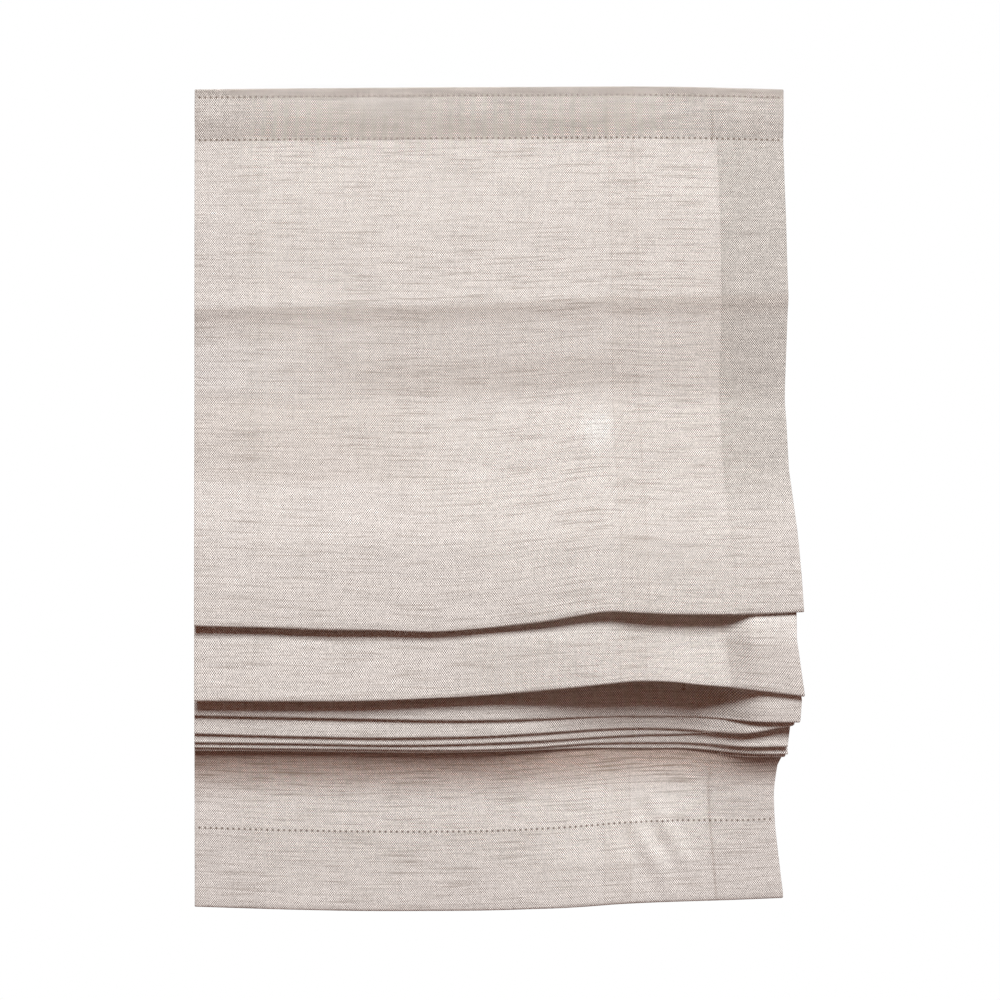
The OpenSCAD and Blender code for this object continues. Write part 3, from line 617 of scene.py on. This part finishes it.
grain = calc(plain_weave, "ADD", grain, off_centre(crossing, 0.35))
open_weave = calc(plain_weave, "ADD", 0.52, off_centre(patch, 1.6))
check = calc(plain_weave, "MULTIPLY", over_under, calc(plain_weave, "MAXIMUM", open_weave, 0.2))
grain = calc(plain_weave, "MULTIPLY", calc(plain_weave, "ADD", grain, check), gi.outputs["Contrast"])
dark = calc(plain_weave, "MULTIPLY", bold, gi.outputs["Slubs"])
light = calc(plain_weave, "SUBTRACT", calc(plain_weave, "ADD", 1.0, grain),
             calc(plain_weave, "MULTIPLY", dark, 0.25))
light = calc(plain_weave, "MAXIMUM", light, 0.08)
plain_weave.links.new(light, go.inputs[0])
plain_weave.links.new(dark, go.inputs[1])
plain_weave.links.new(calc(plain_weave, "ADD", calc(plain_weave, "MULTIPLY", over_under, 0.25),
                           calc(plain_weave, "ADD", weft, crossing)), go.inputs[2])

linen, tree, shader = new_finish("natural_linen", 0.9)
shader.inputs["Specular IOR Level"].default_value = 0.2
flat_place = put(tree, "ShaderNodeUVMap", uv_map="flat_cloth").outputs[0]
split = put(tree, "ShaderNodeSeparateXYZ", {0: flat_place})
u_at, v_at = split.outputs[0], split.outputs[1]


def zone(value, start, end):
    ramp = put(tree, "ShaderNodeMapRange",
               {0: value, 1: start * 0.001, 2: end * 0.001, 3: 0.0, 4: 1.0}, interpolation_type="SMOOTHSTEP")
    return ramp.outputs[0]


def v_of(name, end=False):
    first, last = stretch[name]
    return float(flat_v[last - 1 if end else first])


def product(value, *others):
    for other in others:
        value = calc(tree, "MULTIPLY", value, other)
    return value


def rest_of(value):
    return calc(tree, "SUBTRACT", 1.0, value)


def band(value, rise, fall):
    return product(zone(value, *rise), rest_of(zone(value, *fall)))


def away_from(value, middle):
    return calc(tree, "ABSOLUTE", calc(tree, "SUBTRACT", value, middle * 0.001))


# Painted shade: where more than one layer lies behind the face, as in the hems and the folds,
# less light comes through, so the linen is painted darker there.
hem_edge = (hem_x - 0.4, hem_x + 0.4)
head_v = v_of("head_front") - (head_end - turn_drop) / head_rows
fold_v, under_v, free_v, sewn_v = v_of("behind_1"), v_of("over_8"), v_of("over_8", True), v_of("bottom", True)
left_zone = zone(calc(tree, "MULTIPLY", u_at, -1.0), *hem_edge)
side_zone = calc(tree, "MAXIMUM", zone(u_at, *hem_edge), product(left_zone, 0.2))
side_zone = product(side_zone, zone(v_at, head_v - 20, head_v + 60),
                    rest_of(product(zone(v_at, head_v + 290, head_v + 370), 0.95)))
head_zone = product(rest_of(zone(v_at, head_v + header_h - 1.6, head_v + header_h - 0.4)), 0.42)
foot_zone = product(zone(v_at, sewn_v - 0.6, sewn_v + 0.6), 0.12)
where = put(tree, "ShaderNodeTexCoord").outputs["Object"]
height_at = put(tree, "ShaderNodeSeparateXYZ", {0: where}).outputs[2]
pile_top = (324, 332)
doubled = product(zone(calc(tree, "MULTIPLY", height_at, -1.0), *pile_top),
                  calc(tree, "SUBTRACT", 0.2, zone(v_at, fold_v, fold_v + 20), clamp=True))
gathered_zone = product(band(v_at, (fold_v, fold_v + 1), (under_v, under_v + 60)),
                        calc(tree, "SUBTRACT", 0.15, product(zone(u_at, hem_x - 20, hem_x), 0.13)))
backed = calc(tree, "MAXIMUM", calc(tree, "MAXIMUM", side_zone, head_zone),
              calc(tree, "MAXIMUM", foot_zone, calc(tree, "MAXIMUM", doubled, gathered_zone)))
# Painted shade on the top of the bottom panel, under the pile of folds.
painted_shade_under_pile = band(v_at, (free_v + 60, free_v + 90), (free_v + 92, free_v + 138))
# Painted light: the lower bottom panel and the hem are made paler.
painted_light_low = zone(v_at, free_v + 100, free_v + 130)
tape_mid = away_from(u_at, tape_at)
tape_zone = rest_of(zone(tape_mid, 9.4, 10.4))
tape_line = band(tape_mid, (9.0, 9.8), (10.0, 10.8))

weave = put(tree, "ShaderNodeGroup", {"Place": flat_place}, node_tree=plain_weave)
# The painted shade under the pile also makes the slubs there bolder and the weave crisper.
slubby = calc(tree, "ADD", rest_of(product(backed, 0.65)), product(painted_shade_under_pile, 2.4))
tree.links.new(slubby, weave.inputs["Slubs"])
crisp = calc(tree, "ADD", 1.7, product(calc(tree, "MAXIMUM", backed, painted_shade_under_pile), 0.6))
tree.links.new(calc(tree, "ADD", crisp, product(head_zone, 1.2)), weave.inputs["Contrast"])
mottle = put(tree, "ShaderNodeTexNoise", {"Vector": flat_place, "Scale": 55.0, "Detail": 3.0}).outputs[0]
fleck = put(tree, "ShaderNodeTexVoronoi", {"Vector": flat_place, "Scale": 95.0, "Randomness": 1.0}).outputs[0]
speck = calc(tree, "SUBTRACT", 1.0, product(fleck, 11.0), clamp=True)
warm = tint(tree, mottle, (0.715, 0.664, 0.622), (0.735, 0.680, 0.650))
# Painted light on the lower bottom panel and the hem.
warm = tint(tree, product(painted_light_low, 0.72), warm, (0.83, 0.78, 0.745))
thin = tint(tree, backed, warm, (0.575, 0.534, 0.498))
# Painted shade under the pile: the top of the bottom panel is tinted darker and redder.
thin = tint(tree, product(painted_shade_under_pile, 0.85), thin, (0.45, 0.325, 0.27))
thin = tint(tree, product(tape_zone, 0.12), thin, (0.62, 0.55, 0.50))
thin = tint(tree, product(tape_line, 0.25), thin, (0.55, 0.48, 0.43))

# Painted shade and light: painted shade in the header's upright creases, under its turn and above
# its lower seam, and along the side hem's edge; a pale painted highlight; and painted shade along the crease
# across the panel.
for crease_u, crease_w, strength in ((88.3, 2.0, 0.3), (170.6, 2.4, 0.5), (203.0, 9.0, 0.1)):
    painted_crease_shade = product(rest_of(zone(away_from(u_at, crease_u), 0.0, crease_w)),
                     band(v_at, (head_v + 2, head_v + 34), (head_v + 37, head_v + 44)))
    thin = tint(tree, product(painted_crease_shade, strength), thin, (0.35, 0.30, 0.26))
# Painted shade under the header's top turn.
painted_shade_under_turn = rest_of(zone(v_at, head_v + 3, head_v + 10))
thin = tint(tree, product(painted_shade_under_turn, 0.28), thin, (0.36, 0.30, 0.26))
# Painted shade above the header's lower seam, strongest on the left.
painted_shade_above_seam = product(band(v_at, (head_v + 10, head_v + 37), (head_v + 38.6, head_v + 39.8)),
                   calc(tree, "SUBTRACT", 0.2, product(zone(u_at, 60, 150), 0.17)))
thin = tint(tree, painted_shade_above_seam, thin, (0.36, 0.30, 0.26))
# Painted shade along the side hem's edge, below the pile.
painted_hem_edge_shade = product(rest_of(zone(away_from(u_at, hem_x), 0.4, 1.4)), zone(v_at, free_v + 60, free_v + 90))
thin = tint(tree, product(painted_hem_edge_shade, 0.3), thin, (0.45, 0.36, 0.31))
# A painted highlight: a pale spot on the panel.
highlight_u, highlight_v, highlight_wide = 76.5, head_v + 270.0, 1.2
painted_highlight = put(tree, "ShaderNodeCombineXYZ",
           {0: product(calc(tree, "SUBTRACT", u_at, highlight_u * 0.001), highlight_wide),
            1: calc(tree, "SUBTRACT", v_at, highlight_v * 0.001)}).outputs[0]
painted_highlight = put(tree, "ShaderNodeVectorMath", {0: painted_highlight}, operation="LENGTH").outputs["Value"]
thin = tint(tree, product(rest_of(zone(painted_highlight, 2.0, 22.0)), 0.7), thin, (0.88, 0.855, 0.83))
# Painted shade along the crease across the panel.
below_crease = calc(tree, "ADD", v_at, product(u_at, crease_tilt))
painted_crease_line_shade = band(below_crease, (head_v + 166.5, head_v + 169), (head_v + 172, head_v + 190))
thin = tint(tree, product(painted_crease_line_shade, 0.33), thin, (0.50, 0.435, 0.39))
# Painted shade on three broad places of the panel and painted light on one: from and to across, from and to
# down, share, colour.
for u_from, u_to, v_from, v_to, share, colour in (
        (-300, -60, 239, 303, 0.34, (0.57, 0.505, 0.46)), (-110, 112, 210, 236.5, 0.26, (0.51, 0.445, 0.40)),
        (125, 200, 140, 312, 0.13, (0.51, 0.445, 0.40)), (-300, -165, 198, 232, 0.45, (0.86, 0.82, 0.79))):
    v_from, v_to = head_v + v_from, head_v + v_to
    wide = band(u_at, (u_from - 45, u_from + 45), (u_to - 45, u_to + 45))
    tall = band(v_at, (v_from - 5, v_from + 5), (v_to - 3, v_to + 3))
    thin = tint(tree, product(wide, tall, share), thin, colour)

woven = shaded(tree, thin, weave.outputs["Shade"])
woven = tint(tree, product(weave.outputs["Slub"], 0.4), woven, (0.36, 0.27, 0.21))
woven = tint(tree, product(speck, 0.06), woven, (0.16, 0.10, 0.07))
seam_vs = (head_v + seam_drops[0], head_v + seam_drops[1], sewn_v)
needle = calc(tree, "FRACT", calc(tree, "DIVIDE", u_at, stitch_pitch * 0.001))
needle = calc(tree, "ABSOLUTE", calc(tree, "SUBTRACT", needle, 0.5))
needle = calc(tree, "SUBTRACT", 1.25, product(needle, 4.2), clamp=True)
for seam_v in seam_vs:
    on_seam = rest_of(zone(away_from(v_at, seam_v), 0.6, 1.1))
    woven = tint(tree, product(on_seam, needle, 0.9), woven, (0.17, 0.12, 0.09))
tree.links.new(woven, shader.inputs["Base Color"])
raised = calc(tree, "ADD", weave.outputs["Height"], product(tape_line, 1.2))
emboss(tree, shader, raised, 0.35, 0.0004)

cloth = sheet_mesh("linen_sheet", face_side, back_side, flat_u, flat_v, linen)
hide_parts("blind_cloth")
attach(cloth, "blind")


# Seams: polyester thread in running lockstitch, two lines through the header and its loop
# tape and one along the bottom hem. Each stitch sinks a little into the linen.
stitch_l, thread_r, stitch_parts, thread_sides = 3.0, 0.24, 6, 6
seam_thread, tree, shader = new_finish("seam_thread", 0.6)
where = put(tree, "ShaderNodeTexCoord").outputs["Object"]
ply = put(tree, "ShaderNodeTexNoise", {"Vector": where, "Scale": 3000.0, "Detail": 1.0}).outputs[0]
tree.links.new(tint(tree, ply, (0.62, 0.55, 0.5), (0.84, 0.78, 0.73)), shader.inputs["Base Color"])
emboss(tree, shader, ply, 0.3, 0.0002)
front_cols = [c for c, (_, off, _) in enumerate(columns) if off == 0.0]
front_place = np.array([columns[c][0] for c in front_cols])


def on_face(x, row):
    low_row = int(np.clip(math.floor(row), 0, len(middle) - 2))
    share = row - low_row
    line = face_side[low_row, front_cols] * (1 - share) + face_side[low_row + 1, front_cols] * share
    out = normal[low_row, front_cols] * (1 - share) + normal[low_row + 1, front_cols] * share
    return (np.array([np.interp(x, front_place, line[:, i]) for i in range(3)]),
            np.array([np.interp(x, front_place, out[:, i]) for i in range(3)]))


def seam_row(v):
    return float(np.interp(v, flat_v, np.arange(len(flat_v))))


points, faces = [], []
for seam_v in seam_vs:
    row = seam_row(seam_v)
    for n in range(int(2 * (half_w - 3) / stitch_pitch)):
        x = (math.floor(-(half_w - 3) / stitch_pitch) + n + 1.0) * stitch_pitch
        if abs(x) > half_w - 4:
            continue
        for part in range(stitch_parts + 1):
            along_stitch = -1 + 2 * part / stitch_parts
            spot, out = on_face(x + along_stitch * stitch_l / 2, row)
            thick = thread_r * math.sqrt(max(0.08, 1 - along_stitch**4))
            lifted = spot + out * (0.10 - 0.22 * along_stitch**2)
            tangent = np.array([1.0, 0.0, 0.0])
            side_way = np.cross(out, tangent)
            for a in np.linspace(0, 2 * math.pi, thread_sides, endpoint=False):
                points.append((lifted + thick * (math.cos(a) * out + math.sin(a) * side_way)) * 0.001)
        start = len(points) - (stitch_parts + 1) * thread_sides
        for part in range(stitch_parts):
            ring_at = start + part * thread_sides
            for a in range(thread_sides):
                p, q = ring_at + a, ring_at + (a + 1) % thread_sides
                faces.append((p, q, q + thread_sides, p + thread_sides))
        faces.append(tuple(start + a for a in range(thread_sides - 1, -1, -1)))
        faces.append(tuple(start + stitch_parts * thread_sides + a for a in range(thread_sides)))
seams = new_piece("seam_stitches", points, faces, seam_thread)
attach(seams, "blind")


# Loop tape: the soft half of the fastening, a knitted nylon band with a brushed pile. It is
# sewn behind the header with the seams above, and presses onto the hook tape.
loop_pile = tape_finish("loop_pile", (0.88, 0.87, 0.84), (0.7, 0.68, 0.64), 700.0, 0.9)
loops = fleecy_band("loop_band", "loop_tape", loop_pile, 0.005, 0.0002)
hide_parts("loop_tape")
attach(loops, "blind")


# Lift tapes: cotton tapes sewn down the back of the sheet and into every fold, which carry
# the rods. They are woven closer than the linen, with a firm edge.
tape_w, tape_t, tape_gap = 20.0, 0.35, 0.2
cotton_tape, tree, shader = new_finish("cotton_tape", 0.88)
flat_place = put(tree, "ShaderNodeUVMap", uv_map="flat_cloth").outputs[0]
weave = put(tree, "ShaderNodeGroup", {"Place": flat_place}, node_tree=plain_weave)
weave.inputs["Warp"].default_value = 1500.0
weave.inputs["Weft"].default_value = 1500.0
weave.inputs["Slubs"].default_value = 0.1
weave.inputs["Contrast"].default_value = 0.8
from_middle = calc(tree, "ABSOLUTE", put(tree, "ShaderNodeSeparateXYZ", {0: flat_place}).outputs[0])
firm = put(tree, "ShaderNodeMapRange", {0: from_middle, 1: 0.0085, 2: 0.0092, 3: 0.0, 4: 0.5}).outputs[0]
plain = tint(tree, firm, (0.78, 0.73, 0.67), (0.70, 0.64, 0.58))
tree.links.new(shaded(tree, plain, weave.outputs["Shade"]), shader.inputs["Base Color"])
emboss(tree, shader, weave.outputs["Height"], 0.4, 0.0003)
first_row, last_row = stretch["panel"][0], stretch["bottom"][1] - 2
for side, tape_x in (("left", -tape_at), ("right", tape_at)):
    places = np.linspace(-tape_w / 2, tape_w / 2, 7)
    middle_of_tape = np.zeros((last_row - first_row, len(places), 3))
    outward = np.zeros_like(middle_of_tape)
    for c, beside_middle in enumerate(places):
        for r in range(first_row, last_row):
            spot, out = on_face(tape_x + beside_middle, r)
            middle_of_tape[r - first_row, c] = spot - out * (cloth_t / 2 + 0.25 + tape_gap + tape_t / 2)
            outward[r - first_row, c] = out
    tape = sheet_mesh(f"woven_tape_{side}", middle_of_tape + outward * tape_t / 2,
                      middle_of_tape - outward * tape_t / 2, places, flat_v[first_row:last_row], cotton_tape)
    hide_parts(f"lift_tape_{side}")
    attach(tape, "blind")


# Bottom bar: a flat aluminium bar, bare from the mill. It is slid into the bottom hem from
# the side, keeps the hem straight and draws the cloth down.
dress("bottom_bar", grained("mill_aluminium", (0.76, 0.77, 0.78), (16, 1000, 1000), 0.2, 0.34, 1.0, 0.3))


# Stage: a pale floor below the hanging blind, soft lamps above and in front, and the camera
# straight in front, at the height of the blind's middle.
def seen_directly(tree):
    seen = put(tree, "ShaderNodeLightPath").outputs
    return calc(tree, "MAXIMUM", seen["Is Camera Ray"],
                calc(tree, "MAXIMUM", seen["Is Glossy Ray"], seen["Is Transmission Ray"]))


stage_finish, tree, shader = new_finish("pale_floor", 0.9)
shader.inputs["Base Color"].default_value = (0.82, 0.81, 0.80, 1.0)
where = put(tree, "ShaderNodeTexCoord").outputs["Object"]
from_middle = put(tree, "ShaderNodeVectorMath", {0: where}, operation="LENGTH").outputs["Value"]
far = put(tree, "ShaderNodeMapRange", {0: from_middle, 1: 0.25, 2: 0.75, 3: 0.45, 4: 1.0}).outputs[0]
white = put(tree, "ShaderNodeEmission", {"Color": (1.0, 1.0, 1.0, 1.0), "Strength": 1.0}).outputs[0]
blend = put(tree, "ShaderNodeMixShader", {0: calc(tree, "MULTIPLY", seen_directly(tree), far),
                                          1: shader.outputs[0], 2: white}).outputs[0]
tree.links.new(blend, tree.nodes["Material Output"].inputs["Surface"])
floor = new_piece("floor", [(-0.9, -0.9, 0), (0.9, -0.9, 0), (0.9, 0.9, 0), (-0.9, 0.9, 0)], [(0, 1, 2, 3)],
                  stage_finish)
floor.location = (0.0, -0.05, -2.4)

world = bpy.data.worlds.new("studio")
bpy.context.scene.world = world
world.use_nodes = True
tree = world.node_tree
tree.nodes.clear()
sky = put(tree, "ShaderNodeBackground", {"Color": (1.0, 0.34, 0.18, 1.0), "Strength": 0.12}).outputs[0]
white = put(tree, "ShaderNodeBackground", {"Color": (1.0, 1.0, 1.0, 1.0), "Strength": 1.0}).outputs[0]
blend = put(tree, "ShaderNodeMixShader", {0: seen_directly(tree), 1: sky, 2: white}).outputs[0]
put(tree, "ShaderNodeOutputWorld", {"Surface": blend})


def lamp(name, place, aim, size, power, colour):
    light = bpy.data.lights.new(name, "AREA")
    light.shape = "RECTANGLE"
    light.size, light.size_y = size
    light.energy = power
    light.color = colour
    holder = bpy.data.objects.new(name, light)
    bpy.context.scene.collection.objects.link(holder)
    holder.location = place
    away = np.array(aim) - np.array(place)
    flat_way = math.hypot(away[0], away[1])
    holder.rotation_euler = (math.atan2(flat_way, -away[2]), 0.0, math.atan2(-away[0], away[1]))


lamp("key", (1.7, -14.6, 12.8), (0.0, -0.05, -0.35), (6.4, 6.8), 4420.0, (0.945, 1.0, 1.01))
lamp("right_fill", (1.9, -1.2, 0.1), (0.0, -0.05, -0.3), (0.9, 0.9), 2.0, (1.0, 1.0, 1.0))
lamp("rear", (-0.4, 1.7, 1.2), (0.0, 0.0, -0.3), (1.4, 1.0), 60.0, (0.94, 1.0, 1.03))

lens = bpy.data.cameras.new("camera")
lens.sensor_width = 36.0
lens.lens = 61.4
camera = bpy.data.objects.new("camera", lens)
camera.location = (0.0076, -1.3382, -0.2984)
camera.rotation_euler = (math.radians(90), 0.0, 0.0)
bpy.context.scene.collection.objects.link(camera)
bpy.context.scene.camera = camera
bpy.context.scene.view_settings.view_transform = "Standard"
